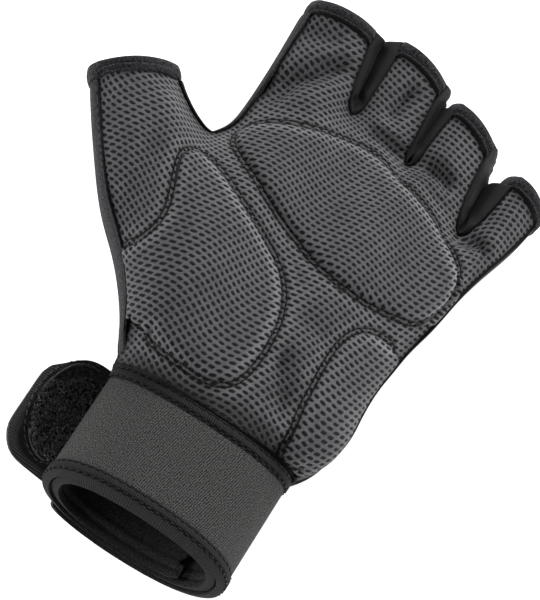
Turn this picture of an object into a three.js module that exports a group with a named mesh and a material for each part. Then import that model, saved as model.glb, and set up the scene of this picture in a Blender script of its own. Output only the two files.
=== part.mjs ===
// Fingerless weightlifting glove for the left hand, lying on its back, with its wrist strap wound up.
// X runs across the hand with the thumb at minus X, Y runs from the wrist to the fingertips,
// and Z is up, out of the palm. Lengths are in millimetres.
import * as THREE from 'three';

// Driving sizes
const palmWidth = 94;
const handLength = 150;
const palmThickness = 40;
const leatherWall = 1.8;
const fabricWall = 1.4;
const hemWall = 2.2;
const hemWidth = 5.2;
const padThickness = 2.6;
const padEdge = 0.9;
const seamGap = 0.3;
const padGap = 0.8;
const palmEdgeRadius = 22;
const fingerEdgeRadius = 12.5;
const backEdgeRadius = 12;
const strapWidth = 36;
const strapWall = 2.4;
const bindingWidth = 4.6;
const bindingWall = 3;
const layerPitch = 3.6;
const wrapWidth = 73;
const wrapHeight = 38;
const wrapOpenHeight = 51;
const wrapTurns = 2.25;
const tabReach = 27;
const tabWall = 2.4;
const patchWall = 1.6;
const cuffGap = 0.8;
const cuffLength = 12;

// Grid counts
const columns = 5;
const wristRows = 2;
const thumbRows = 8;
const knuckleRows = 4;
const palmRows = wristRows + thumbRows + knuckleRows;
const thumbSteps = 8;
const fingerShares = [0, 0.08, 0.2, 0.38, 0.58, 0.8, 1];

// Sides of the glove seen from above. Each row is [x / palmWidth, y / handLength].
const sides = {
  thumbOuter: [
    [-0.37, 0.04], [-0.372, 0.075], [-0.405, 0.12], [-0.441, 0.165], [-0.496, 0.21], [-0.565, 0.262],
    [-0.655, 0.307], [-0.718, 0.345], [-0.796, 0.405], [-0.874, 0.47], [-0.937, 0.522], [-0.975, 0.559],
  ],
  thumbInner: [
    [-0.513, 0.618], [-0.535, 0.617], [-0.575, 0.626], [-0.62, 0.64], [-0.676, 0.663], [-0.709, 0.681],
  ],
  indexOuter: [
    [-0.513, 0.618], [-0.494, 0.624], [-0.48, 0.64], [-0.465, 0.67], [-0.461, 0.72], [-0.461, 0.79],
    [-0.465, 0.87], [-0.471, 0.94], [-0.475, 0.985],
  ],
  indexInner: [[-0.134, 0.841], [-0.14, 0.843], [-0.155, 0.862], [-0.168, 0.905], [-0.182, 0.96], [-0.194, 1]],
  middleOuter: [[-0.134, 0.841], [-0.128, 0.844], [-0.125, 0.862], [-0.128, 0.905], [-0.134, 0.965], [-0.14, 1.01]],
  middleInner: [[0.133, 0.809], [0.128, 0.812], [0.123, 0.84], [0.12, 0.88], [0.117, 0.94], [0.116, 0.983]],
  ringOuter: [[0.133, 0.809], [0.138, 0.812], [0.14, 0.84], [0.14, 0.88], [0.145, 0.925], [0.148, 0.962]],
  ringInner: [[0.42, 0.737], [0.413, 0.741], [0.404, 0.762], [0.394, 0.8], [0.388, 0.855], [0.388, 0.92]],
  littleOuter: [[0.42, 0.737], [0.427, 0.741], [0.436, 0.765], [0.444, 0.8], [0.45, 0.85], [0.453, 0.888]],
  littleEdge: [
    [0.412, 0.04], [0.447, 0.067], [0.48, 0.12], [0.487, 0.173], [0.476, 0.24], [0.474, 0.307], [0.488, 0.373],
    [0.5, 0.44], [0.527, 0.507], [0.543, 0.573], [0.556, 0.627], [0.583, 0.693], [0.606, 0.74],
    [0.628, 0.79], [0.645, 0.853],
  ],
};

// How far each side's seam to the palm leather lies in from the side, at its base and at its tip, in millimetres
const palmInset = {
  thumbOuter: [1.3, 2.8],
  thumbInner: [1.2, 1.8],
  indexOuter: [1.1, 2.6],
  indexInner: [1.5, 3.2],
  middleOuter: [1.5, 3.2],
  middleInner: [1.5, 3.2],
  ringOuter: [1.5, 3],
  ringInner: [1.5, 4],
  littleOuter: [1.5, 4.2],
  littleEdge: [1.1, 1.6],
};
const backInset = 2.6;

// Heights along the hand. Each row is [y / handLength, crown, seam, floor] and the heights are shares of
// palmThickness.
const heights = [
  [0.03, 0.9, 0.46, 0.02],
  [0.09, 0.95, 0.47, 0],
  [0.2, 0.97, 0.48, 0],
  [0.36, 0.92, 0.47, 0],
  [0.56, 0.84, 0.45, 0],
  [0.7, 0.78, 0.42, 0],
  [0.8, 0.745, 0.42, 0.03],
  [0.9, 0.735, 0.44, 0.08],
  [1.05, 0.755, 0.48, 0.17],
];
// The thumb side lifts off the surface toward its tip, and the ball of the thumb swells
const thumbLift = 0.2;
const thumbSwell = 0.07;

// Padded areas of the palm, each bounded by four edges. Each row is [x / palmWidth, y / handLength].
const pads = {
  thenar_pad: {
    bottom: [[-0.405, 0.155], [-0.355, 0.121], [-0.268, 0.101], [-0.162, 0.081], [-0.059, 0.077]],
    right: [
      [-0.059, 0.077], [0.002, 0.082], [0.032, 0.104], [0.036, 0.14], [0.036, 0.216], [0.045, 0.287],
      [0.029, 0.337], [-0.006, 0.374], [-0.066, 0.405],
    ],
    top: [[-0.556, 0.51], [-0.515, 0.541], [-0.425, 0.522], [-0.299, 0.486], [-0.165, 0.444], [-0.066, 0.405]],
    left: [[-0.405, 0.155], [-0.46, 0.2], [-0.5, 0.254], [-0.492, 0.3], [-0.487, 0.36], [-0.515, 0.43], [-0.556, 0.51]],
  },
  metacarpal_pad: {
    bottom: [
      [-0.44, 0.61], [-0.368, 0.578], [-0.271, 0.548], [-0.165, 0.51], [-0.045, 0.482], [0.061, 0.458],
      [0.196, 0.448], [0.279, 0.447], [0.383, 0.461], [0.456, 0.478],
    ],
    right: [[0.456, 0.478], [0.49, 0.53], [0.498, 0.585], [0.49, 0.62]],
    top: [
      [-0.432, 0.668], [-0.379, 0.688], [-0.308, 0.711], [-0.23, 0.731], [-0.15, 0.751], [-0.107, 0.757],
      [-0.016, 0.764], [0.054, 0.765], [0.129, 0.751], [0.204, 0.735], [0.282, 0.718], [0.371, 0.693],
      [0.427, 0.669], [0.474, 0.641], [0.49, 0.62],
    ],
    left: [[-0.44, 0.61], [-0.446, 0.64], [-0.432, 0.668]],
  },
  hypothenar_pad: {
    bottom: [[0.318, 0.065], [0.36, 0.063], [0.4, 0.068]],
    right: [
      [0.4, 0.068], [0.44, 0.12], [0.448, 0.18], [0.438, 0.25], [0.442, 0.31], [0.452, 0.36], [0.44, 0.405],
    ],
    top: [[0.301, 0.379], [0.335, 0.389], [0.397, 0.404], [0.44, 0.405]],
    left: [
      [0.318, 0.065], [0.308, 0.087], [0.287, 0.145], [0.277, 0.212], [0.271, 0.292], [0.279, 0.343],
      [0.301, 0.379],
    ],
  },
};

// Small helpers
const mix = THREE.MathUtils.lerp;
const smooth = THREE.MathUtils.smoothstep;
const flat = (row) => new THREE.Vector2(row[0] * palmWidth, row[1] * handLength);
const curveOf = (rows) => new THREE.SplineCurve(rows.map(flat));

// Reads a table by its first column, with a smooth curve that never overshoots its rows
function lookUp(table, key, column) {
  const last = table.length - 1;
  if (key <= table[0][0]) return table[0][column];
  if (key >= table[last][0]) return table[last][column];
  const grade = (i) => (table[i + 1][column] - table[i][column]) / (table[i + 1][0] - table[i][0]);
  const slope = (i) => {
    if (i === 0 || i === last) return grade(Math.min(i, last - 1));
    const [before, after] = [grade(i - 1), grade(i)];
    return before * after > 0 ? (2 * before * after) / (before + after) : 0;
  };
  let i = 0;
  while (table[i + 1][0] < key) i += 1;
  const span = table[i + 1][0] - table[i][0];
  const t = (key - table[i][0]) / span;
  const rising = 3 * t ** 2 - 2 * t ** 3;
  return mix(table[i][column], table[i + 1][column], rising)
    + (t ** 3 - 2 * t ** 2 + t) * slope(i) * span + (t ** 3 - t ** 2) * slope(i + 1) * span;
}

// A curve's point at a given distance along the hand
function pointAtY(curve, y) {
  let [low, high] = [0, 1];
  for (let i = 0; i < 40; i += 1) {
    const middle = (low + high) / 2;
    if (curve.getPoint(middle).y < y) low = middle;
    else high = middle;
  }
  return curve.getPoint(low);
}

// A curve's point at a share of its length, starting from a given point
function stretch(curve, start, steps) {
  const points = curve.getSpacedPoints(200).filter((point) => point.y > start.y + 0.01);
  const tail = new THREE.SplineCurve([start, ...points.filter((point, i) => i % 8 === 7), points.at(-1)]);
  return tail.getSpacedPoints(steps);
}

// Stations along every side. Palm sides are sampled row by row, finger sides by fingerShares.
const curves = Object.fromEntries(Object.entries(sides).map(([name, rows]) => [name, curveOf(rows)]));
const fingerSide = (name) => fingerShares.map((share) => curves[name].getPointAt(share));
const wristY = 0.044 * handLength;
const flapY = 0.085 * handLength;
const knuckleY = 0.83 * handLength;
const littleY = 0.69 * handLength;

const thumbOuterPalm = [];
for (let i = 0; i <= wristRows; i += 1) {
  thumbOuterPalm.push(pointAtY(curves.thumbOuter, mix(wristY, flapY, i / wristRows)));
}
const thumbOuterTip = stretch(curves.thumbOuter, thumbOuterPalm.at(-1), thumbSteps);
const thumbInnerTip = curves.thumbInner.getSpacedPoints(thumbSteps);
const indexOuterPalm = [curves.indexOuter.getPoint(0)];
for (let i = 1; i <= knuckleRows; i += 1) {
  indexOuterPalm.push(pointAtY(curves.indexOuter, mix(sides.indexOuter[2][1] * handLength, knuckleY, (i - 0.6) / (knuckleRows - 0.6))));
}
const lastShares = fingerShares.slice(1);
const upFrom = (curve, start) => {
  const end = curve.getPoint(1);
  return lastShares.map((share) => pointAtY(curve, mix(start.y, end.y, share)));
};
const indexOuterTip = upFrom(curves.indexOuter, indexOuterPalm.at(-1));
const littleEdgePalm = [];
for (let i = 0; i <= palmRows; i += 1) {
  littleEdgePalm.push(pointAtY(curves.littleEdge, mix(wristY, littleY, i / palmRows)));
}
const littleEdgeTip = upFrom(curves.littleEdge, littleEdgePalm.at(-1));

// Each strip runs down one side and up the next, as lists of stations with their seam insets
const stationsOf = (name, points, from = 0, to = 1) => points.map((point, i) => ({
  point,
  inset: mix(palmInset[name][0], palmInset[name][1], mix(from, to, i / (points.length - 1))),
}));
const reversed = (list) => [...list].reverse();
const strips = {
  thumb_gusset: [...stationsOf('thumbOuter', [...thumbOuterPalm.slice(0, -1), ...thumbOuterTip])],
  index_gusset: [
    ...reversed(stationsOf('thumbInner', thumbInnerTip)),
    ...stationsOf('indexOuter', [...indexOuterPalm, ...indexOuterTip]).slice(1),
  ],
  index_middle_fourchette: [
    ...reversed(stationsOf('indexInner', fingerSide('indexInner'))),
    ...stationsOf('middleOuter', fingerSide('middleOuter')).slice(1),
  ],
  middle_ring_fourchette: [
    ...reversed(stationsOf('middleInner', fingerSide('middleInner'))),
    ...stationsOf('ringOuter', fingerSide('ringOuter')).slice(1),
  ],
  ring_little_fourchette: [
    ...reversed(stationsOf('ringInner', fingerSide('ringInner'))),
    ...stationsOf('littleOuter', fingerSide('littleOuter')).slice(1),
  ],
  little_gusset: reversed(stationsOf('littleEdge', [...littleEdgePalm, ...littleEdgeTip])),
};

// The direction from a strip's side into the glove, at each station. Walking along a strip, the hand is to
// the right.
for (const strip of Object.values(strips)) {
  strip.forEach((station, i) => {
    const before = strip[Math.max(i - 1, 0)].point;
    const after = strip[Math.min(i + 1, strip.length - 1)].point;
    const along = after.clone().sub(before).normalize();
    station.inward = new THREE.Vector2(along.y, -along.x);
  });
}
const seamPoint = (station, inset) => station.point.clone().addScaledVector(station.inward, inset);

// How far a point lies in from the sides, blended where two sides are equally near
const fences = Object.values(strips).map((strip) => {
  const points = strip.map((station) => station.point);
  const grow = (a, b) => a.clone().add(a.clone().sub(b).setLength(palmWidth * 0.3));
  return [grow(points[0], points[1]), ...points, grow(points.at(-1), points.at(-2))];
});
function fenceDistance(fence, point) {
  let best = Infinity;
  for (let i = 1; i < fence.length; i += 1) {
    const [a, b] = [fence[i - 1], fence[i]];
    const edge = b.clone().sub(a);
    const t = THREE.MathUtils.clamp(point.clone().sub(a).dot(edge) / edge.lengthSq(), 0, 1);
    best = Math.min(best, point.distanceTo(a.clone().addScaledVector(edge, t)));
  }
  return best;
}
function depthAt(point) {
  const total = fences.reduce((sum, fence) => sum + Math.max(fenceDistance(fence, point), 0.001) ** -6, 0);
  return total ** (-1 / 6);
}

// Heights of the crown, the side seam and the underside at a point
function levels(point) {
  const share = point.y / handLength;
  const thumb = smooth(-point.x / palmWidth, 0.45, 1.05);
  const lift = thumb * thumbLift;
  const mound = Math.exp(-(((point.x / palmWidth + 0.42) / 0.32) ** 2) - (((share - 0.38) / 0.22) ** 2));
  return {
    crown: (lookUp(heights, share, 1) + thumbSwell * mound + lift * 0.15) * palmThickness,
    seam: (lookUp(heights, share, 2) + lift * 0.4) * palmThickness,
    floor: (lookUp(heights, share, 3) + lift) * palmThickness,
  };
}
function edgeRadius(point) {
  const line = mix(0.83, 0.7, THREE.MathUtils.clamp(point.x / palmWidth + 0.4, 0, 1));
  return mix(palmEdgeRadius, fingerEdgeRadius, smooth(point.y / handLength, line - 0.22, line + 0.02));
}
const rise = (share) => (share >= 1 ? 1 : Math.sqrt(1 - (1 - share) ** 2));
function palmHeight(point, depth = depthAt(point)) {
  const { crown, seam } = levels(point);
  return seam + (crown - seam) * rise(depth / edgeRadius(point));
}
function backHeight(point, depth = depthAt(point)) {
  const { seam, floor } = levels(point);
  return seam - (seam - floor) * rise(depth / backEdgeRadius);
}

// Closed solid between an outer and an inner set of points that share one list of faces
function solidBetween(outer, inner, faces) {
  const count = outer.length;
  const triangles = [];
  const used = new Set(faces.flatMap((face) => face.map((v, i) => `${v},${face[(i + 1) % face.length]}`)));
  const add = (face) => {
    for (let i = 2; i < face.length; i += 1) triangles.push(face[0], face[i - 1], face[i]);
  };
  for (const face of faces) {
    add(face);
    add(reversed(face).map((v) => v + count));
    face.forEach((v, i) => {
      const next = face[(i + 1) % face.length];
      if (!used.has(`${next},${v}`)) add([next, v, v + count, next + count]);
    });
  }
  const geometry = new THREE.BufferGeometry();
  const numbers = [...outer, ...inner].flatMap((point) => point.toArray());
  geometry.setAttribute('position', new THREE.Float32BufferAttribute(numbers, 3));
  geometry.setIndex(triangles);
  geometry.computeVertexNormals();
  return geometry;
}

// Points set in by a wall, along the normals of the faces around each point
function inset(outer, faces, wall) {
  const normals = outer.map(() => new THREE.Vector3());
  for (const face of faces) {
    const across = outer[face[2]].clone().sub(outer[face[0]]);
    const down = outer[face[3 % face.length]].clone().sub(outer[face[1]]);
    const normal = across.cross(down);
    face.forEach((v) => normals[v].add(normal));
  }
  return outer.map((point, i) => point.clone().addScaledVector(normals[i].normalize(), -wall));
}
const shell = (outer, faces, wall) => solidBetween(outer, inset(outer, faces, wall), faces);

// Faces of a grid of points stored row by row; a closed grid joins its last column to its first
function gridFaces(rows, across, closed = false) {
  const faces = [];
  const wrap = closed ? across : across - 1;
  for (let i = 0; i < rows - 1; i += 1) {
    for (let j = 0; j < wrap; j += 1) {
      const next = (j + 1) % across;
      faces.push([i * across + j, i * across + next, (i + 1) * across + next, (i + 1) * across + j]);
    }
  }
  return faces;
}

// Four-sided patch filled between its edges; left and right run from the bottom edge to the top edge
function patch(bottom, right, top, left) {
  const rows = left.length - 1;
  const across = bottom.length - 1;
  const grid = [];
  for (let i = 0; i <= rows; i += 1) {
    for (let j = 0; j <= across; j += 1) {
      const [u, v] = [j / across, i / rows];
      const sum = bottom[j].clone().multiplyScalar(1 - v).addScaledVector(top[j], v);
      sum.addScaledVector(left[i], 1 - u).addScaledVector(right[i], u);
      sum.addScaledVector(bottom[0], -(1 - u) * (1 - v)).addScaledVector(bottom[across], -u * (1 - v));
      sum.addScaledVector(top[0], -(1 - u) * v).addScaledVector(top[across], -u * v);
      grid.push(sum);
    }
  }
  return grid;
}
const between = (a, b, steps) => Array.from({ length: steps + 1 }, (_, i) => a.clone().lerp(b, i / steps));

// The plan of one face of the glove: its points seen from above and its faces
function handPlan(insetOf) {
  const edge = (strip, from, to) => strips[strip].slice(from, to).map((s) => seamPoint(s, insetOf(s)));
  const fingers = fingerShares.length;
  const outerSide = edge('thumb_gusset');
  const indexSide = edge('index_gusset');
  const littleSide = reversed(edge('little_gusset'));
  const flapStart = outerSide[wristRows];
  const thumbCrotch = indexSide[thumbSteps];
  const middleSide = edge('index_middle_fourchette');
  const ringSide = edge('middle_ring_fourchette');
  const lastSide = edge('ring_little_fourchette');
  const crotches = [middleSide[fingers - 1], ringSide[fingers - 1], lastSide[fingers - 1]];
  const left = [
    ...outerSide.slice(0, wristRows),
    ...between(flapStart, thumbCrotch, thumbRows),
    ...indexSide.slice(thumbSteps + 1, thumbSteps + 1 + knuckleRows),
  ];
  const right = littleSide.slice(0, palmRows + 1);
  const corners = [left.at(-1), ...crotches, right.at(-1)];
  const top = [corners[0]];
  for (let i = 0; i < 4; i += 1) top.push(...between(corners[i], corners[i + 1], columns).slice(1));
  const bottom = between(left[0], right[0], columns * 4);
  const points = patch(bottom, right, top, left);
  const faces = gridFaces(palmRows + 1, columns * 4 + 1);
  const row = (i) => points.map((_, k) => k).slice(i * (columns * 4 + 1), (i + 1) * (columns * 4 + 1));
  const palmTop = row(palmRows);
  const tips = [];

  // Finger stalls rise from the last palm row
  const fingerSides = [
    [indexSide.slice(thumbSteps + knuckleRows), reversed(middleSide.slice(0, fingers))],
    [middleSide.slice(fingers - 1), reversed(ringSide.slice(0, fingers))],
    [ringSide.slice(fingers - 1), reversed(lastSide.slice(0, fingers))],
    [lastSide.slice(fingers - 1), littleSide.slice(palmRows)],
  ];
  fingerSides.forEach(([a, b], finger) => {
    let below = palmTop.slice(finger * columns, (finger + 1) * columns + 1);
    for (let i = 1; i < fingers; i += 1) {
      const line = between(a[i], b[i], columns);
      const here = line.map((point) => points.push(point) - 1);
      for (let j = 0; j < columns; j += 1) faces.push([below[j], below[j + 1], here[j + 1], here[j]]);
      below = here;
    }
    tips.push(below);
  });

  // The thumb stall leaves the palm between its outer side and the thumb crotch
  const base = [];
  for (let i = wristRows; i <= wristRows + thumbRows; i += 1) base.push(row(i)[0]);
  const thumbLeft = outerSide.slice(wristRows);
  const thumbRight = reversed(indexSide.slice(0, thumbSteps + 1));
  const tipLine = between(thumbLeft.at(-1), thumbRight.at(-1), thumbRows);
  const thumb = patch(base.map((v) => points[v]), thumbRight, tipLine, thumbLeft);
  let below = base;
  for (let i = 1; i <= thumbSteps; i += 1) {
    const here = [];
    for (let j = 0; j <= thumbRows; j += 1) here.push(points.push(thumb[i * (thumbRows + 1) + j]) - 1);
    for (let j = 0; j < thumbRows; j += 1) faces.push([below[j], below[j + 1], here[j + 1], here[j]]);
    below = here;
  }
  tips.push(below);
  return { points, faces, tips, wrist: row(0) };
}

const lifted = (point, height) => new THREE.Vector3(point.x, point.y, height);
const palmPlan = handPlan((station) => station.inset);
const backPlan = handPlan(() => backInset);
const palmPoints = palmPlan.points.map((point) => lifted(point, palmHeight(point)));
const backPoints = backPlan.points.map((point) => lifted(point, backHeight(point)));
const downFaces = backPlan.faces.map(reversed);

// A strip's section at one station, from the palm seam round the side to the back seam
function stripSection(station) {
  const radius = edgeRadius(station.point);
  const seamAt = (start, height) => {
    const here = seamPoint(station, start);
    const first = lifted(here, height(here));
    let depth = start;
    let point = first;
    while (point.distanceTo(first) < seamGap && depth > 0.06) {
      depth -= 0.02;
      const next = seamPoint(station, depth);
      point = lifted(next, height(next, depth));
    }
    return { depth, point };
  };
  const palmSeam = seamAt(station.inset, palmHeight);
  const backSeam = seamAt(backInset, backHeight);
  const angle = Math.acos(1 - palmSeam.depth / radius);
  const backAngle = Math.acos(1 - backSeam.depth / backEdgeRadius);
  const at = (depth, height) => {
    const point = seamPoint(station, depth);
    return lifted(point, height(point, depth));
  };
  return [
    palmSeam.point,
    at(radius * (1 - Math.cos(angle * 0.5)), palmHeight),
    at(0, palmHeight),
    at(backEdgeRadius * (1 - Math.cos(backAngle * 0.5)), backHeight),
    backSeam.point,
  ];
}
const stripSections = Object.fromEntries(
  Object.entries(strips).map(([name, strip]) => [name, strip.map(stripSection)]),
);

// A ring of points round one opening: palm edge, one strip, back edge, the other strip
function openingRing(palmEdge, backEdge, right, left) {
  return [
    ...palmEdge.map((v) => palmPoints[v]),
    ...right,
    ...reversed(backEdge).map((v) => backPoints[v]),
    ...reversed(left),
  ];
}
const sectionOf = (name, i) => stripSections[name].at(i);
const rings = {
  index: [0, 'index_middle_fourchette', 0, 'index_gusset', -1],
  middle: [1, 'middle_ring_fourchette', 0, 'index_middle_fourchette', -1],
  ring: [2, 'ring_little_fourchette', 0, 'middle_ring_fourchette', -1],
  little: [3, 'little_gusset', 0, 'ring_little_fourchette', -1],
  thumb: [4, 'index_gusset', 0, 'thumb_gusset', -1],
};

const group = new THREE.Group();
function place(name, geometry, color, roughness) {
  const mesh = new THREE.Mesh(geometry, new THREE.MeshStandardMaterial({ color, roughness, metalness: 0 }));
  mesh.name = name;
  group.add(mesh);
  return mesh;
}
const leather = 0x55565a;
const knit = 0x3a3b3f;
const blackKnit = 0x1b1b1d;
const elastic = 0x47484c;

place('palm_panel', shell(palmPoints, palmPlan.faces, leatherWall), leather, 0.7);
place('back_panel', shell(backPoints, downFaces, fabricWall), blackKnit, 0.9);
for (const [name, sections] of Object.entries(stripSections)) {
  const points = sections.flat();
  const faces = gridFaces(sections.length, sections[0].length);
  const color = name === 'thumb_gusset' || name === 'index_gusset' ? knit : blackKnit;
  place(name, shell(points, faces, fabricWall), color, 0.9);
}

// Knit hems bind the open ends of the stalls
const centreOf = (points) => points.reduce((sum, p) => sum.add(p), new THREE.Vector3()).divideScalar(points.length);
for (const [finger, [tip, rightName, rightAt, leftName, leftAt]] of Object.entries(rings)) {
  const right = sectionOf(rightName, rightAt);
  const left = sectionOf(leftName, leftAt);
  const ring = openingRing(palmPlan.tips[tip], backPlan.tips[tip], right, left);
  const behind = [sectionOf(rightName, rightAt === 0 ? 1 : -2), sectionOf(leftName, leftAt === 0 ? 1 : -2)].flat();
  const axis = centreOf([...right, ...left]).sub(centreOf(behind)).normalize();
  const centre = centreOf(ring);
  const rows = [[0, 0.3], [0.5, 0.9], [1, 0.2]].map(([share, swell]) => ring.map((point) => {
    const out = point.clone().sub(centre);
    out.addScaledVector(axis, -out.dot(axis)).setLength(swell);
    return point.clone().addScaledVector(axis, seamGap + share * hemWidth).add(out);
  }));
  place(`${finger}_hem`, shell(rows.flat(), gridFaces(rows.length, ring.length, true), hemWall), knit, 0.9);
}

// Padded areas sit on the palm
const padGrids = {
  thenar_pad: { across: 10, rows: 11 },
  metacarpal_pad: { across: 18, rows: 7 },
  hypothenar_pad: { across: 5, rows: 11 },
};
const sampled = (rows, steps) => curveOf(rows).getSpacedPoints(steps);
for (const [name, edges] of Object.entries(pads)) {
  const { across, rows } = padGrids[name];
  const plan = patch(
    sampled(edges.bottom, across),
    sampled(edges.right, rows),
    sampled(edges.top, across),
    sampled(edges.left, rows),
  );
  const swell = (share) => 1 - (2 * share - 1) ** 4;
  const under = [];
  const over = [];
  plan.forEach((point, k) => {
    const [i, j] = [Math.floor(k / (across + 1)), k % (across + 1)];
    const base = palmHeight(point) + padGap;
    const thickness = mix(padEdge, padThickness, Math.sqrt(Math.max(swell(j / across) * swell(i / rows), 0)));
    under.push(lifted(point, base));
    over.push(lifted(point, base + thickness));
  });
  place(name, solidBetween(over, under, gridFaces(rows + 1, across + 1)), leather, 0.7);
}

// The wrist wrap: one strap wound on an oval that opens toward its free end
const wrapLength = strapWidth + 2 * bindingWidth;
const wrapCentreX = 0.015 * palmWidth;
const wrapTop = 0.036 * handLength;
const wrapLean = 0.12;
const bindingLift = (bindingWall - strapWall) / 2;
const startAngle = -Math.PI / 4;
function wrapPoint(turn, along, lift = 0) {
  const share = along / wrapLength;
  const angle = startAngle - turn * 2 * Math.PI;
  const inner = (wrapTurns - turn) * layerPitch - lift;
  const half = mix(wrapHeight, wrapOpenHeight, share) / 2;
  const oval = (value) => Math.sign(value) * Math.abs(value) ** (2 / 2.3);
  const x = oval(Math.cos(angle)) * (wrapWidth / 2 - inner);
  const z = oval(Math.sin(angle)) * (half - inner);
  return new THREE.Vector3(wrapCentreX + x, wrapTop - along + wrapLean * z * share, bindingLift + half + z);
}
function wound(from, to, start, end, wall, steps, lift) {
  const points = [];
  const across = 2;
  for (let i = 0; i <= steps; i += 1) {
    for (let j = 0; j <= across; j += 1) {
      points.push(wrapPoint(mix(from, to, i / steps), mix(start, end, j / across), lift));
    }
  }
  return shell(points, gridFaces(steps + 1, across + 1), wall);
}
const wrapSteps = 56;
const faceStart = bindingWidth + seamGap;
const faceEnd = bindingWidth + strapWidth - seamGap;
place('strap_upper_binding', wound(0, wrapTurns, 0, bindingWidth, bindingWall, wrapSteps, bindingLift), blackKnit, 0.9);
place('wrist_strap', wound(0, wrapTurns, faceStart, faceEnd, strapWall, wrapSteps, 0), elastic, 0.85);
place(
  'strap_lower_binding',
  wound(0, wrapTurns, bindingWidth + strapWidth, wrapLength, bindingWall, wrapSteps, bindingLift),
  blackKnit,
  0.9,
);

// The free end of the strap leaves the wrap at the back of the thumb side
const endTurn = wrapTurns + 0.004;
const tabShares = [0, 0.2, 0.4, 0.6, 0.75, 0.86, 0.94, 0.985, 1];
const tabPoints = [];
const patchOver = [];
const patchUnder = [];
const tabAcross = 8;
for (const share of tabShares) {
  const corner = smooth(share, 0.45, 1) ** 1.5;
  const start = mix(0, wrapLength * 0.24, corner);
  const end = mix(wrapLength, wrapLength * 0.84, smooth(share, 0.75, 1) ** 2);
  for (let j = 0; j <= tabAcross; j += 1) {
    const along = mix(start, end, j / tabAcross);
    const root = wrapPoint(endTurn, along, -bindingLift);
    const out = wrapPoint(endTurn + 0.01, along, -bindingLift).sub(root);
    out.y = 0;
    out.setLength(1);
    const turnOut = new THREE.Vector3(-1, 0, 0.42).normalize();
    const bend = out.lerp(turnOut, smooth(share, 0, 0.35)).normalize();
    const point = root.clone().addScaledVector(bend, share * tabReach);
    tabPoints.push(point);
  }
}
const tabFaces = gridFaces(tabShares.length, tabAcross + 1);
const tabInner = inset(tabPoints, tabFaces, tabWall);
place('strap_tab', solidBetween(tabPoints, tabInner, tabFaces), elastic, 0.85);
tabShares.forEach((share, i) => {
  for (let j = 1; j < tabAcross; j += 1) {
    const k = i * (tabAcross + 1) + j;
    const up = tabInner[k].clone().sub(tabPoints[k]).normalize();
    if (i < tabShares.length - 2 && i > 0) {
      patchUnder.push(tabInner[k].clone().addScaledVector(up, seamGap));
      patchOver.push(tabInner[k].clone().addScaledVector(up, seamGap + patchWall));
    }
  }
});
const patchFaces = gridFaces(tabShares.length - 3, tabAcross - 1).map(reversed);
place('hook_patch', solidBetween(patchOver, patchUnder, patchFaces), blackKnit, 1);

// The cuff runs from the hand into the wrap
const wristRing = openingRing(
  palmPlan.wrist,
  backPlan.wrist,
  sectionOf('little_gusset', -1),
  sectionOf('thumb_gusset', 0),
);
const innerLayer = wrapTurns * layerPitch + bindingWall + cuffGap;
const frontLayer = (wrapTurns - 0.625) * layerPitch + bindingWall + cuffGap;
const cuffCentre = new THREE.Vector3(wrapCentreX, 0, (innerLayer + wrapHeight - frontLayer) / 2);
const cuffHalf = new THREE.Vector2(wrapWidth / 2 - innerLayer, (wrapHeight - frontLayer - innerLayer) / 2);
const handCentre = centreOf(wristRing);
// Each row is [share of the way in to the wrap's hole, place along the hand from the wrist edge]
const cuffRows = [[0, 4], [0, 0.9], [0.94, -0.7], [1, -1.6], [1, -cuffLength]].map(([share, step]) => (
  wristRing.map((point) => {
    const out = point.clone().sub(handCentre).setY(0);
    const angle = Math.atan2(out.z * (palmWidth / palmThickness) * 0.75, out.x);
    const start = out.setLength(out.length() - leatherWall - 2 * seamGap).add(handCentre);
    const target = cuffCentre.clone();
    target.x += Math.cos(angle) * cuffHalf.x;
    target.z += Math.sin(angle) * cuffHalf.y;
    const moved = start.lerp(target, share);
    moved.y = point.y + step;
    return moved;
  })
));
place('cuff', shell(reversed(cuffRows).flat(), gridFaces(cuffRows.length, wristRing.length, true), fabricWall), blackKnit, 0.9);

// The origin is the middle of the underside
const box = new THREE.Box3().setFromObject(group);
const middle = box.getCenter(new THREE.Vector3());
group.position.set(-middle.x, -middle.y, -box.min.z);

export default group;
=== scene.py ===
# %% [markdown]
# # A weightlifting glove, lying palm up
# The glove is a half-finger glove with a padded palm of embossed synthetic leather, knitted hems and side strips,
# black stretch fabric between the fingers and a long wrist wrap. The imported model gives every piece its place.
# Each cell below dresses one kind of piece, in the order in which the glove is sewn. Lengths on the glove are given
# in millimetres, and MM turns them into Blender's metres.

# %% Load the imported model
import math
import random

import bmesh
import bpy
import numpy as np
from mathutils import Matrix, Vector, kdtree
from mathutils.bvhtree import BVHTree


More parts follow.
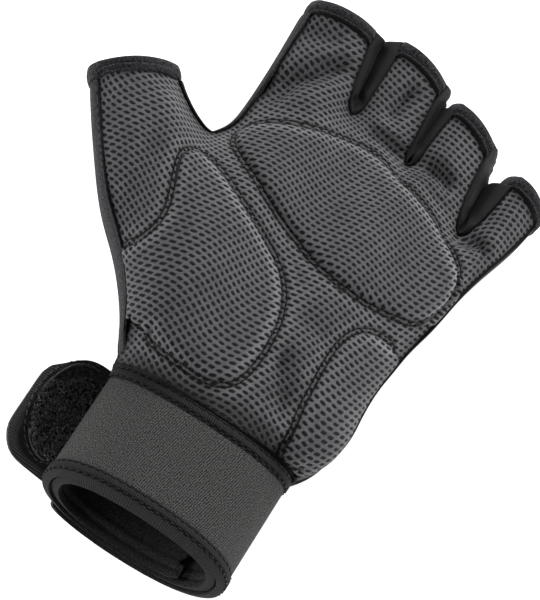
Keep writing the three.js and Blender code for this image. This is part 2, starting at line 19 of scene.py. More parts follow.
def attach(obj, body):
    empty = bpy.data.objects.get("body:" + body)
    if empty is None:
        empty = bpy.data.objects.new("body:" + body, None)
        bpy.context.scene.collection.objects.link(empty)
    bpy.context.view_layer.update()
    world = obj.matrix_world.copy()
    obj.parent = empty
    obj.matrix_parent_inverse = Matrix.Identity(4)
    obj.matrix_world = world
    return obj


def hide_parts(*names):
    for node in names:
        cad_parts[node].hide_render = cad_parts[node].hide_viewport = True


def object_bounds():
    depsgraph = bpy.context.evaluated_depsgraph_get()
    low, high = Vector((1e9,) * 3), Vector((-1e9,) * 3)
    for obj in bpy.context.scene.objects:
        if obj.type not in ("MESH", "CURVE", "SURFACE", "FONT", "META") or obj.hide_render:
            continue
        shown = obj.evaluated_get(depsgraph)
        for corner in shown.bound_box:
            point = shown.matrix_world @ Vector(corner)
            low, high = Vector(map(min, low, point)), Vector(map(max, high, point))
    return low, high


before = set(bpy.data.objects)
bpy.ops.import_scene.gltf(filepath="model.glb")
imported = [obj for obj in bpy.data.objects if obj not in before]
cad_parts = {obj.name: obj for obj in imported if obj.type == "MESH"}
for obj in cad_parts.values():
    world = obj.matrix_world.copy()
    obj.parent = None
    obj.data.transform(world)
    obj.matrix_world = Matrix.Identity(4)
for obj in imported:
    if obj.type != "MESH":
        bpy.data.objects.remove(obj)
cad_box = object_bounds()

MM = 0.001
random.seed(7)  # the stitches and hooks lie the same way in every run
print("nodes in the packed model:", len(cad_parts))

# %% [markdown]
# ## The camera
# The glove was seen from 70 degrees above the floor through a long lens, turned by 33 degrees so that the fingers
# point up and right. A camera can be aimed with a constraint, or given its three axes in one matrix. The matrix was
# chosen, because it also holds the turn in the picture. A long lens keeps the near and far parts at nearly one scale,
# as a product picture does.

# %% Place the camera
def linked(name, data):
    obj = bpy.data.objects.new(name, data)
    bpy.context.scene.collection.objects.link(obj)
    return obj


aim = Vector((14.851, -4.388, 25.0)) * MM  # the point of the palm in the middle of the picture
height, turn = math.radians(70), math.radians(33)
DISTANCE = 1.1  # metres
back = Vector((0, -math.cos(height), math.sin(height)))
across, along = Vector((1, 0, 0)), Vector((0, math.sin(height), math.cos(height)))
right = across * math.cos(turn) + along * math.sin(turn)
up = along * math.cos(turn) - across * math.sin(turn)
lens = bpy.data.cameras.new("long_lens")
lens.lens = 200
lens.sensor_fit = "VERTICAL"
lens.sensor_height = 36
camera = linked("camera", lens)
axes = Matrix((right, up, back)).transposed().to_4x4()
camera.matrix_world = Matrix.Translation(aim + back * DISTANCE) @ axes
bpy.context.scene.camera = camera
print("camera is", round((camera.matrix_world.translation - aim).length, 3), "m from the palm")

# %% [markdown]
# ## From facets to cloth
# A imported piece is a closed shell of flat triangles. It could be subdivided as it stands, but then its thin rims
# shrink. Instead its triangles are joined in pairs, its outer skin is taken off, and subdivision rounds what is left.
# The wall comes back last, with Solidify.

# %% Copy a node's mesh in four-sided faces
def merged(node):
    bm = bmesh.new()
    bm.from_mesh(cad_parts[node].data)
    bmesh.ops.remove_doubles(bm, verts=bm.verts, dist=0.002 * MM)
    bmesh.ops.join_triangles(
        bm, faces=bm.faces, cmp_seam=False, cmp_sharp=False, cmp_uvs=False, cmp_vcols=False, cmp_materials=False,
        angle_face_threshold=math.radians(60), angle_shape_threshold=math.radians(60))
    bm.faces.index_update()
    return bm


# %% Divide a mesh where it turns sharply
def patches(bm, bend):
    left = dict.fromkeys(bm.faces)
    found = []
    while left:
        todo = [next(iter(left))]
        del left[todo[0]]
        patch = []
        while todo:
            face = todo.pop()
            patch.append(face)
            for edge in face.edges:
                if edge.calc_face_angle(math.pi) < math.radians(bend):
                    for other in edge.link_faces:
                        if other in left:
                            del left[other]
                            todo.append(other)
        found.append(patch)
    return found


# %% Keep the largest side, and let its edge out by grow millimetres to meet its neighbours
def skin(node, bend=50, toward=None, grow=0.0, thumb_side=0.0):
    bm = merged(node)
    side = Vector(toward) if toward else None

    def size(patch):
        return sum(face.calc_area() * (face.normal.dot(side) if side else 1) for face in patch)

    keep = set(max(patches(bm, bend), key=size))
    bmesh.ops.delete(bm, geom=[f for f in bm.faces if f not in keep], context="FACES")
    outward = {}
    for edge in bm.edges:
        if len(edge.link_faces) == 1:
            face = edge.link_faces[0]
            way = (edge.verts[1].co - edge.verts[0].co).cross(face.normal).normalized()
            away = edge.verts[0].co - face.calc_center_median()
            for vert in edge.verts:
                outward[vert] = outward.get(vert, Vector()) + (way if way.dot(away) > 0 else -way)
    for vert, way in outward.items():
        faces_thumb = min(max(-way.x - 0.5, 0) * 2, 1) * (vert.co.x < -28 * MM)
        mitre = 2 / max(way.length_squared, 1.2)  # two edges meet at a corner, which has further to go
        vert.co += way * mitre * (grow + thumb_side * faces_thumb) * MM
    print(node, "outer skin:", len(bm.faces), "faces, edge let out by", grow, "mm")
    return bm


# %% Turn a bmesh into an object, and apply its modifiers
def object_of(name, bm):
    mesh = bpy.data.meshes.new(name)
    bm.to_mesh(mesh)
    bm.free()
    return linked(name, mesh)


def settle(obj):
    graph = bpy.context.evaluated_depsgraph_get()
    mesh = bpy.data.meshes.new_from_object(obj.evaluated_get(graph), preserve_all_data_layers=True, depsgraph=graph)
    obj.modifiers.clear()
    obj.data = mesh


# %% Round a skin, and give it a wall inwards, with the lining on the inside
def subdivided(obj, levels):
    rounds = obj.modifiers.new("rounds", "SUBSURF")
    rounds.levels = rounds.render_levels = levels
    settle(obj)
    obj.data.shade_smooth()
    return obj


def walled(obj, wall, finish, lining=None, rim=0.0):
    obj.data.materials.append(finish)
    obj.data.materials.append(lining or finish)
    thick = obj.modifiers.new("wall", "SOLIDIFY")
    thick.thickness = wall * MM
    thick.offset = -1
    thick.material_offset = 1
    if rim:
        edge = obj.modifiers.new("rim", "BEVEL")
        edge.width, edge.segments, edge.limit_method = rim * MM, 3, "ANGLE"
        edge.angle_limit = math.radians(50)
    settle(obj)
    obj.data.set_sharp_from_angle(angle=math.radians(50))


# %% Attach a finished piece to the root body, give it its finish if it has none, and hide the imported nodes that it replaces
def dressed(obj, finish, slot, *nodes):
    if not obj.data.materials:
        obj.data.materials.append(finish)
    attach(obj, "root")
    if nodes:
        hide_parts(*nodes)
    obj.data.calc_loop_triangles()
    print(obj.name, "has", len(obj.data.loop_triangles), "triangles")


# %% [markdown]
# ## A flat cut for every skin
# A pattern that follows cloth needs the flat shape that the cloth was cut to. Object coordinates would do for a flat
# piece, but round a finger they stretch. Blender's unwrap gives the flat shape. It is then scaled until its area in
# millimetres is the area of the skin, and turned until its second axis runs along a chosen direction on the glove,
# so weave and embossing come out at their real size.

# %% Unwrap a skin in millimetres
def lay_flat(obj, grain, middle=(0, 0, 0)):
    bpy.context.view_layer.objects.active = obj
    obj.select_set(True)
    bpy.ops.object.mode_set(mode="EDIT")
    bpy.ops.mesh.select_all(action="SELECT")
    bpy.ops.uv.unwrap(method="ANGLE_BASED", margin=0.001)
    bpy.ops.object.mode_set(mode="OBJECT")
    obj.select_set(False)
    mesh = obj.data
    flat = np.empty(len(mesh.loops) * 2)
    mesh.uv_layers.active.data.foreach_get("uv", flat)
    flat = flat.reshape(-1, 2)
    at = np.array([mesh.vertices[loop.vertex_index].co for loop in mesh.loops]) / MM
    # The slope of a plane laid through the heights along the grain says which way the grain runs on the flat cut.
    goal = at @ np.array(grain)
    plane = np.c_[flat, np.ones(len(flat))]
    slope = np.linalg.lstsq(plane, goal, rcond=None)[0][:2]
    cut = 0
    for face in mesh.polygons:
        run = flat[face.loop_start:face.loop_start + face.loop_total]
        cut += 0.5 * np.sum(run[:, 0] * np.roll(run[:, 1], -1) - run[:, 1] * np.roll(run[:, 0], -1))
    area = sum(face.area for face in mesh.polygons) / MM ** 2
    scale = math.sqrt(area / abs(cut))
    axis = slope / np.linalg.norm(slope)
    side = np.array([axis[1], -axis[0]]) * (1 if cut > 0 else -1)
    flat = flat @ np.c_[side, axis] * scale
    # The cut is moved so that the pattern starts from the same spot on the glove in every run.
    near = np.argmin(np.linalg.norm(at - np.array(middle), axis=1))
    home = np.array([np.dot(middle, np.cross(grain, (0, 0, 1))), np.dot(middle, grain)])
    flat += home - flat[near]
    mesh.uv_layers.active.data.foreach_set("uv", flat.ravel())
    print(obj.name, "flat cut:", round(area / 100, 1), "cm2")


# %% [markdown]
# ## Moving points and drawing lines on a surface
# Seams, folds and rolls could be sculpted by hand in the editor. Here each is a depth that every point is pushed along
# its normal, worked out from how far the point lies from a line, so that it comes out the same every time. Stitches
# need a line on the surface, which is drawn where such a distance passes a level, as height lines are on a map.

# %% Read and write the points of a mesh
def points_of(obj, kind="co"):
    values = np.empty(len(obj.data.vertices) * 3)
    obj.data.vertices.foreach_get(kind, values)
    return values.reshape(-1, 3)


def moved_to(obj, at):
    obj.data.vertices.foreach_set("co", at.ravel())
    obj.data.update()


def press(obj, depth, normals=None):
    normals = points_of(obj, "normal") if normals is None else normals
    moved_to(obj, points_of(obj) + normals * (depth * MM)[:, None])


def painted(obj, name, values):
    layer = obj.data.attributes.new(name, "FLOAT", "POINT")
    layer.data.foreach_set("value", np.clip(values, 0, 1).astype(np.float32))


# %% Find the open rim of a skin
def rim_edges(obj):
    uses = np.zeros(len(obj.data.edges), int)
    for loop in obj.data.loops:
        uses[loop.edge_index] += 1
    return [tuple(edge.vertices) for edge, n in zip(obj.data.edges, uses) if n == 1]


def rim_of(obj):
    return sorted({point for pair in rim_edges(obj) for point in pair})


# %% Average values with their neighbours, and cut faces finer near a line
def soften(obj, values, rounds):
    ends = np.array([edge.vertices[:] for edge in obj.data.edges]).T
    count = np.bincount(ends.ravel(), minlength=len(values))
    for _ in range(rounds):
        total = sum(np.bincount(ends[i], values[ends[1 - i]], len(values)) for i in (0, 1))
        values = (values + total / count) / 2
    return values


def refined(obj, near):
    bm = bmesh.new()
    bm.from_mesh(obj.data)
    bm.verts.ensure_lookup_table()
    edges = [e for e in bm.edges if near[e.verts[0].index] and near[e.verts[1].index]]
    bmesh.ops.subdivide_edges(bm, edges=edges, cuts=1, use_grid_fill=True)
    bm.to_mesh(obj.data)
    bm.free()
    obj.data.shade_smooth()
    print(obj.name, "now has", len(obj.data.vertices), "points")


# %% Join loose pairs end to end
def chained(pairs):
    near = {}
    for a, b in pairs:
        near.setdefault(a, []).append(b)
        near.setdefault(b, []).append(a)
    unused = dict.fromkeys(near)
    runs = []
    for start in [k for k in near if len(near[k]) == 1] + list(near):
        if start not in unused:
            continue
        run = [start]
        del unused[start]
        while True:
            after = next((k for k in near[run[-1]] if k in unused), None)
            if after is None:
                break
            run.append(after)
            del unused[after]
        runs.append((run, len(run) > 2 and run[0] in near[run[-1]]))
    return runs


# %% Draw a line on a surface where a measured value passes a level
def traced(obj, value, level):
    mesh = obj.data
    at, facing = points_of(obj), points_of(obj, "normal")
    place, pairs = {}, []
    high = value > level
    for face in mesh.polygons:
        ring = face.vertices
        if len({bool(high[v]) for v in ring}) == 1:
            continue
        cuts = []
        for a, b in zip(ring, list(ring[1:]) + [ring[0]]):
            if high[a] != high[b]:
                key = (min(a, b), max(a, b))
                share = (level - value[key[0]]) / (value[key[1]] - value[key[0]])
                place[key] = (at[key[0]] * (1 - share) + at[key[1]] * share,
                              facing[key[0]] * (1 - share) + facing[key[1]] * share)
                cuts.append(key)
        pairs += [tuple(cuts[i:i + 2]) for i in range(0, len(cuts) - 1, 2)]
    lines = []
    for run, closed in chained(pairs):
        line = np.array([np.r_[place[key][0], place[key][1]] for key in run])
        lines.append(np.vstack([line, line[:1]]) if closed else line)
    return lines


# %% Space points evenly along a line, and measure it
def even(line, step):
    reach = np.r_[0, np.cumsum(np.linalg.norm(np.diff(line[:, :3], axis=0), axis=1))]
    stops = np.linspace(0, reach[-1], max(3, round(reach[-1] / (step * MM)) + 1))
    return np.array([[np.interp(s, reach, line[:, k]) for k in range(line.shape[1])] for s in stops])


def run_of(line):
    return np.linalg.norm(np.diff(line[:, :3], axis=0), axis=1).sum() / MM


# %% Measure how far points are from a line, and whether a ring holds them on the plan
def nearest_of(points):
    tree = kdtree.KDTree(len(points))
    for i, point in enumerate(points):
        tree.insert(point[:3], i)
    tree.balance()
    return tree.find


def away_from(at, line):
    find = nearest_of(line)
    return np.array([find(point)[2] for point in at]) / MM


def enclosed(at, ring):
    inside = np.zeros(len(at), bool)
    for (ax, ay), (bx, by) in zip(ring[:, :2], np.roll(ring[:, :2], -1, axis=0)):
        crosses = (ay > at[:, 1]) != (by > at[:, 1])
        slope = (bx - ax) / (by - ay if by != ay else 1e-12)
        inside ^= crosses & (at[:, 0] < ax + (at[:, 1] - ay) * slope)
    return inside


# %% [markdown]
# ## Materials
# Every finish is built from nodes. Photographs of cloth could be wrapped round the pieces, but a pattern made of nodes
# is sharp at any distance and has a real size. Colours are given as the hex values that a screen shows, and one
# function turns them into linear light. A second small function adds a node with its settings and its links.

# %% Helpers for materials
def linear(code):
    parts = [int(code[i:i + 2], 16) / 255 for i in (1, 3, 5)]
    return tuple(c / 12.92 if c <= 0.04045 else ((c + 0.055) / 1.055) ** 2.4 for c in parts) + (1,)


def add(tree, kind, settings=(), links=()):
    new = tree.nodes.new(kind)
    for key, value in dict(settings).items():
        if isinstance(key, str) and hasattr(new, key):
            setattr(new, key, value)
        else:
            new.inputs[key].default_value = value
    for key, source in dict(links).items():
        tree.links.new(source, new.inputs[key])
    return new.outputs[0]


def finish_named(name, **sockets):
    made = bpy.data.materials.new(name)
    made.use_nodes = True
    shader = made.node_tree.nodes["Principled BSDF"]
    for key, value in sockets.items():
        shader.inputs[key.replace("_", " ")].default_value = value
    return made, made.node_tree, shader


def between(tree, source, low, high, dark, light):
    share = add(tree, "ShaderNodeMapRange", {1: low, 2: high}, {0: source})
    mixed = add(tree, "ShaderNodeMix", {"data_type": "RGBA", 6: linear(dark), 7: linear(light)}, {0: share})
    return mixed.node.outputs[2]


def tinted(tree, tone, painted_name, code):
    share = add(tree, "ShaderNodeAttribute", {"attribute_name": painted_name}).node.outputs["Fac"]
    return add(tree, "ShaderNodeMix", {"data_type": "RGBA", 7: linear(code)}, {0: share, 6: tone}).node.outputs[2]


# %% [markdown]
# ## Embossed palm leather
# The palm is microfibre leather: a felt of fine fibres with a polyurethane face, embossed by a heated roller. The
# roller leaves sunken lozenges 1.5 mm long on a lattice that swings in waves 40 mm apart. The lattice is two counts,
# one across the rows (a row every 2 mm) and one along them (a lozenge every 2.4 mm), and a lozenge lies where both
# counts are whole numbers. The counts read the flat cut, so the emboss follows the leather round the finger sides.
# Real dents would make a heavy mesh, so bump draws them, and colour darkens them as painted shade. Two painted values
# join in: one darkens seams, folds and edges as painted shade, and one lightens the pads' shoulders as a painted
# highlight.

# %% The palm leather
WAVE, SWING, LEAN = 40.0, 1.15, 0.09  # a wave's length in mm, how many rows it swings over, and its slant
TURN = 2 * math.pi / WAVE
leather, tree, shader = finish_named("embossed_microfibre_leather", Roughness=0.5, Specular_IOR_Level=0.3, IOR=1.47)
cut = add(tree, "ShaderNodeUVMap")
# Hand-laid leather isn't perfectly even, so the lattice wanders by a quarter of a millimetre.
wander = add(tree, "ShaderNodeTexNoise", {"Scale": 0.35, "Detail": 1.0}, {"Vector": cut}).node.outputs["Color"]
loose = add(tree, "ShaderNodeVectorMath", {"operation": "MULTIPLY_ADD", 1: (0.5, 0.5, 0), 2: (-0.25, -0.25, 0)}, {
    0: wander})
place = add(tree, "ShaderNodeVectorMath", {"operation": "ADD"}, {0: cut, 1: loose})
across_wave = add(tree, "ShaderNodeVectorMath", {"operation": "DOT_PRODUCT", 1: (TURN, -LEAN * TURN, 0)}, {0: place})
across_wave = across_wave.node.outputs["Value"]
swing = add(tree, "ShaderNodeMath", {"operation": "SINE"}, {0: add(
    tree, "ShaderNodeMath", {"operation": "ADD", 1: -0.35 * TURN}, {0: across_wave})})
# Each vector points across what it counts, and its length is how many there are to a millimetre.
rows = add(tree, "ShaderNodeVectorMath", {"operation": "DOT_PRODUCT", 1: (0.08, 0.505, 0)}, {0: place})
rows = add(tree, "ShaderNodeMath", {"operation": "MULTIPLY_ADD", 1: SWING}, {0: swing, 2: rows.node.outputs["Value"]})
dots = add(tree, "ShaderNodeVectorMath", {"operation": "DOT_PRODUCT", 1: (-0.378, 0.18, 0)}, {0: place})
dots = dots.node.outputs["Value"]
# A high power of the two distances from a whole count gives a lozenge with rounded corners.
off = []
for count, half in ((rows, 0.285), (dots, 0.35)):
    near = add(tree, "ShaderNodeMath", {"operation": "WRAP", 1: 0.5, 2: -0.5}, {0: count})
    share = add(tree, "ShaderNodeMath", {"operation": "DIVIDE", 1: half}, {0: near})
    size = add(tree, "ShaderNodeMath", {"operation": "ABSOLUTE"}, {0: share})
    off.append(add(tree, "ShaderNodeMath", {"operation": "POWER", 1: 3.0}, {0: size}))
reach = add(tree, "ShaderNodeMath", {"operation": "ADD"}, {0: off[0], 1: off[1]})
sunk = add(tree, "ShaderNodeMapRange", {"interpolation_type": "SMOOTHSTEP", 1: 0.3, 2: 1.9, 3: 1.0, 4: 0.0}, {0: reach})
dull = add(tree, "ShaderNodeMapRange", {"interpolation_type": "SMOOTHSTEP", 1: 0.5, 2: 1.1, 3: 1.0, 4: 0.0}, {0: reach})
# Greys of the polyurethane face, from large clouds of wear down to its grain; the dents are painted near black, as
# painted shade.
spread = add(tree, "ShaderNodeTexNoise", {"Scale": 0.06, "Detail": 9.0, "Roughness": 0.75}, {"Vector": cut})
# Painted highlight: leather on and beside the pads' shoulders is mixed towards light grey, most where it faces the
# light.
face = tinted(tree, between(tree, spread, 0.3, 0.7, "#4d4d50", "#6b6b6e"), "painted_highlight", "#8c8c8f")
pit = add(tree, "ShaderNodeMix", {"data_type": "RGBA", 7: linear("#0a0a0b")}, {0: dull, 6: face}).node.outputs[2]
# Painted shade: seams, folds and the leather's edges are mixed towards near black.
tree.links.new(tinted(tree, pit, "painted_shade", "#1b1b1c"), shader.inputs["Base Color"])
grain = add(tree, "ShaderNodeTexNoise", {"Scale": 4.5, "Detail": 2.0}, {"Vector": cut})
level = add(tree, "ShaderNodeMath", {"operation": "MULTIPLY_ADD", 1: -1.0}, {0: sunk, 2: add(
    tree, "ShaderNodeMath", {"operation": "MULTIPLY", 1: 0.45}, {0: grain})})
relief = add(tree, "ShaderNodeBump", {"Strength": 1.0, "Distance": 0.75 * MM}, {"Height": level})
tree.links.new(relief, shader.inputs["Normal"])
tree.links.new(add(tree, "ShaderNodeMapRange", {3: 0.46, 4: 0.75}, {0: sunk}), shader.inputs["Roughness"])
print("the leather's finish has", len(tree.nodes), "nodes")

# %% [markdown]
# ## Knits, weaves and tapes
# Knits and weaves could be drawn yarn by yarn, which only shows in a close-up. Two recipes are enough here. A knit is
# soft flecks over small round stitches, on Object coordinates, because it has no direction that the eye can follow.
# A weave is two sets of ribs that cross, on the flat cut, because its ribs run along the tape. Both are drawn up to
# twice as coarse as the real cloth, whose stitches of 0.3 mm and ribs of 0.4 mm are finer than the picture shows.

# %% A knit: flecks of two colours over stitches, both sized in millimetres
def knitted(name, dark, light, fleck, rib, deep=None, **sockets):
    made, tree, shader = finish_named(name, **sockets)
    at = add(tree, "ShaderNodeTexCoord").node.outputs["Object"]
    hair = add(tree, "ShaderNodeTexNoise", {"Scale": 1 / (fleck * MM), "Detail": 3.0, "Roughness": 0.7}, {"Vector": at})
    tone = between(tree, hair, 0.36, 0.64, dark, light)
    # deep is a colour of painted shade, mixed in where a point's painted shade value is high.
    if deep:
        tone = tinted(tree, tone, "painted_shade", deep)
    tree.links.new(tone, shader.inputs["Base Color"])
    loops = add(tree, "ShaderNodeTexVoronoi", {"Scale": 1 / (rib * MM)}, {"Vector": at})
    both = add(tree, "ShaderNodeMath", {"operation": "ADD"}, {0: loops, 1: hair})
    relief = add(tree, "ShaderNodeBump", {"Strength": 0.7, "Distance": 0.14 * MM}, {"Height": both})
    tree.links.new(relief, shader.inputs["Normal"])
    return made


# %% A weave: ribs of warp and weft, their pitch and depth in millimetres, slanted by lean
# The colour shows the ribs by as much as show says, and the fuzz by hair. A twill has square=0, for its warp alone.
def woven(name, dark, light, warp, weft, depth, lean=0.0, show=0.06, hair=1.0, square=1.0, **sockets):
    made, tree, shader = finish_named(name, **sockets)
    cut = add(tree, "ShaderNodeUVMap")
    bands = []
    for pitch, way in ((warp, (1, lean, 0)), (weft, (-lean, 1, 0))):
        step = add(tree, "ShaderNodeVectorMath", {"operation": "DOT_PRODUCT", 1: tuple(
            2 * math.pi / pitch * w for w in way)}, {0: cut})
        bands.append(add(tree, "ShaderNodeMath", {"operation": "SINE"}, {0: step.node.outputs["Value"]}))
    crossed = add(tree, "ShaderNodeMath", {"operation": "MULTIPLY", 1: square}, {0: bands[1]})
    cloth = add(tree, "ShaderNodeMath", {"operation": "MULTIPLY_ADD"}, {0: bands[0], 1: crossed, 2: bands[0]})
    yarn = add(tree, "ShaderNodeTexNoise", {"Scale": 2.2, "Detail": 2.0, "Roughness": 0.8}, {"Vector": cut})
    soft = add(tree, "ShaderNodeMath", {"operation": "MULTIPLY_ADD", 1: hair, 2: 0.5 - 0.5 * hair}, {0: yarn})
    mixed = add(tree, "ShaderNodeMath", {"operation": "MULTIPLY_ADD", 1: show}, {0: cloth, 2: soft})
    tree.links.new(between(tree, mixed, 0.42, 0.58, dark, light), shader.inputs["Base Color"])
    relief = add(tree, "ShaderNodeBump", {"Strength": 0.6, "Distance": depth * MM}, {"Height": cloth})
    tree.links.new(relief, shader.inputs["Normal"])
    return made


# %% The knits and the lining
# Jersey spun from black and grey fibres. It drinks light, and only its lightest fibres show. Its deep colour is painted
# shade.
melange = knitted("melange_jersey", "#040405", "#454548", 0.65, 0.6, deep="#030303", Roughness=0.9,
                  Specular_IOR_Level=0.1, Sheen_Weight=0.05, Sheen_Roughness=0.5)
# Polyester brushed on its inner face, worn soft and a little grey.
lining = knitted("brushed_lining", "#161617", "#343436", 0.6, 0.8, Roughness=0.95, Specular_IOR_Level=0.15)
# Warp-knitted nylon and elastane, smooth and nearly black, with a faint sheen where it is stretched. Its deep colour is
# painted shade.
stretch = knitted("nylon_elastane", "#141415", "#2a2a2c", 0.3, 0.4, deep="#020202", Roughness=0.7,
                  Specular_IOR_Level=0.18, Sheen_Weight=0.03, Sheen_Roughness=0.4)

# %% The wrap and its tapes
# Elastic woven from covered rubber and matt polyester, with a small square weave and grey hairs.
elastic = woven("woven_elastic", "#0e0e0e", "#5a5a59", 0.78, 0.78, 0.06, show=0.055, hair=0.95, Roughness=0.9,
                Specular_IOR_Level=0.1)
# Polyester twill tape, folded over the wrap's edges, with steep slanting ribs. The tab has the same tape, drawn
# coarser, and paler as painted light, since the tab lies in the wrap's shadow.
twill = woven("twill_tape", "#121213", "#303032", 0.85, 9.0, 0.1, lean=0.3, show=0.07, hair=0.15, square=0.0,
              Roughness=0.8, Specular_IOR_Level=0.12)
tab_twill_painted_light = woven("tab_tape_painted_light", "#161617", "#4a4a4d", 0.95, 9.0, 0.1, lean=0.1, show=0.07, hair=0.15, square=0.0,
                  Roughness=0.8, Specular_IOR_Level=0.12)
# The thick overlocked edge of the hook tape, whose polyester yarn catches the light.
selvedge = knitted("tape_selvedge", "#2c2c2e", "#5a5a5c", 0.5, 0.5, Roughness=0.8, Specular_IOR_Level=0.12)

# %% The hook tape and the thread
# Black nylon tape, nearly hidden under its hooks, and the stiff cut hooks themselves, which glint at their tips.
# The hooks' light grey is partly painted light, raised because the tab lies in the wrap's shadow.
hook = knitted("nylon_hook_tape", "#050506", "#101011", 0.6, 0.7, Roughness=0.8, Specular_IOR_Level=0.1)
fibre_hook = knitted("nylon_hooks", "#1a1a1b", "#858587", 1.2, 0.7, Roughness=0.45, Specular_IOR_Level=0.4)
# Twisted nylon sewing thread, bonded so that its plies don't fray, which gives it a dull gloss.
thread, tree, shader = finish_named("bonded_nylon_thread", Roughness=0.55, Specular_IOR_Level=0.22)
twist = add(tree, "ShaderNodeTexNoise", {"Scale": 2600.0, "Detail": 1.0}, {
    "Vector": add(tree, "ShaderNodeTexCoord").node.outputs["Object"]})
tree.links.new(between(tree, twist, 0.4, 0.6, "#040405", "#0f0f10"), shader.inputs["Base Color"])
print("finishes:", [m.name for m in (leather, melange, lining, stretch, elastic, twill, tab_twill_painted_light, selvedge, hook,
                                     fibre_hook, thread)])

# %% [markdown]
# ## The palm leather and its pads
# The palm is one cut of leather from the wrist to four fingertips, with a flap round the thumb. Three foam pads are
# laid on it under leather patches and topstitched twice round. A cloth simulation could blow such pads up, but these
# are thin and stitched down all round. So the patches are taken from the palm's own surface, which they then fit
# everywhere, and are pushed up from their seam in a quarter-round shoulder.

# %% The palm's skin, flat cut and roundness
palm = object_of("palm_leather", skin("palm_panel", grow=0.8, thumb_side=1.2))
lay_flat(palm, (0, 1, 0), (16.5, 10, 38))
subdivided(palm, 2)
print("palm leather:", len(palm.data.vertices), "points")

# %% A soft step from 0 to 1, and a soft bump round a place
def rise(x, low, high):
    t = np.clip((x - low) / (high - low), 0, 1)
    return t * t * (3 - 2 * t)


def bump(x, place, width):
    return np.exp(-((x - place) / width) ** 2)


# %% The seam round each pad, from the pad's own outline
# The thenar seam runs off the thumb side of the leather, so its line is given point by point on the plan.
THENAR = (
    (-34.6, 22.4), (-29.9, 23.6), (-21, 19.8), (-11.2, 14.9), (2.5, 7.8), (12, 1.9), (17.3, -4.5), (20.5, -12.5),
    (21.8, -22), (21.6, -31.6), (20.3, -39), (17, -42.6), (10.7, -43.8), (1.6, -43.8), (-6.8, -42.8), (-13, -40.8),
    (-22, -37), (-32, -34), (-42, -28), (-42, -20), (-35, -18.3), (-30.8, -15.2), (-28.6, -9.7), (-28.3, -3.8),
    (-30, 2.4), (-32.5, 8.5), (-35.2, 15.6), (-36, 20))
DROP = 0.06  # metres, higher than any part of the glove
DOWN = Vector((0, 0, -1))


def tree_of(obj):
    return BVHTree.FromPolygons([v.co for v in obj.data.vertices], [tuple(f.vertices) for f in obj.data.polygons])


palm_tree = tree_of(palm)
seams = {}
for node in ("thenar_pad", "metacarpal_pad", "hypothenar_pad"):
    bm = skin(node, bend=65, toward=(0, 0, 1))
    rims = [(e.verts[0].index, e.verts[1].index) for e in bm.edges if len(e.link_faces) == 1]
    spot = {v.index: np.array(v.co) for v in bm.verts}
    run = max((r for r, closed in chained(rims)), key=len)
    ring = np.array([spot[i] for i in run + run[:1]])
    if node == "thenar_pad":
        ring = []
        for x, y in THENAR + THENAR[:1]:
            hit = palm_tree.ray_cast(Vector((x * MM, y * MM, DROP)), DOWN)[0]
            ring.append((x * MM, y * MM, hit.z if hit else DROP))
        ring = np.array(ring)
    for _ in range(3):  # round the facets off
        ring = even(ring, 2.5)[:-1]
        ring = (np.roll(ring, 1, axis=0) + 2 * ring + np.roll(ring, -1, axis=0)) / 4
        ring = np.vstack([ring, ring[:1]])
    # Two pads run out under the side strip, and one under the wrap.
    if node == "hypothenar_pad":
        ring[:, 0] += 9 * MM * rise(ring[:, 0] / MM, 50, 56)
        ring[:, 1] -= 5 * MM * rise(-ring[:, 1] / MM, 40, 47)
    if node == "metacarpal_pad":
        ring[:, 0] += 5 * MM * rise(ring[:, 0] / MM, 57, 65)
    seams[node] = even(ring, 0.4)
    bm.free()
    print(node, "seam is", round(run_of(seams[node])), "mm round")

# %% How far each point of the palm lies inside a seam
def inside_by(ring):
    tree = tree_of(palm)
    found = [tree.find_nearest(Vector(point)) for point in ring]
    on_palm = np.array([spot for spot, way, face, gap in found if gap < 5 * MM])
    return away_from(at, on_palm) * np.where(enclosed(at, ring), 1, -1)


# %% Cut the faces finer beside the seams, twice close to them
for low, high in ((-3.6, 7.0), (-2.6, 1.2)):
    at = points_of(palm)
    nearest = np.max([inside_by(ring) for ring in seams.values()], axis=0)
    refined(palm, (nearest > low) & (nearest < high))
at = points_of(palm)
facing = points_of(palm, "normal").copy()

# %% Measure the palm from its seams and from its edge
rim_points = rim_of(palm)
from_edge = away_from(at, at[rim_points])
inward = {node: inside_by(ring) for node, ring in seams.items()}
for node, depth in inward.items():
    print(node, "covers", int((depth > 0).sum()), "points of the palm")
nearest = np.max(list(inward.values()), axis=0)

# %% Folds in the leather, each a line on the plan of the glove with a width and a depth, or a ridge below zero
FOLDS = (
    (((-22.4, 58.7), (-20.5, 63.5), (-17, 68.5), (-12, 74), (-7.3, 79)), 4.0, 3.0),
    (((-20, 50.4), (-15.2, 52.7), (-10.2, 55.7)), 2.6, 1.2),
    (((-23.6, 84.6), (-17.4, 85), (-14.6, 86)), 3.6, 1.2),
    (((15.2, 75), (16.3, 80), (17, 84)), 3.8, 2.2),
    (((12.5, 63), (16.5, 64.5), (20, 64), (24, 64.5)), 3.2, 2.0),
    (((36, 66), (40.3, 65), (44.5, 63.5)), 3.4, 2.2),
    (((40, 57), (45, 56)), 3.0, 1.2),
    (((58, 50.5), (61.2, 51.5), (66, 50.5)), 3.2, 1.6),
    (((28.7, -23), (33, -30), (39, -35)), 4.0, 2.0),
    (((27, -6.1), (31.5, -8.1), (37.3, -10)), 3.6, 1.2),
    (((33, -36), (39.7, -40)), 3.0, 1.2),
    (((-45, 22), (-42, 8), (-38, -4)), 7.0, 0.9),
    (((-50, 32), (-40, 20), (-31, 8)), 6.0, -1.2),
)
DEEPER = 1.75  # the averaging below takes some of a fold's depth back


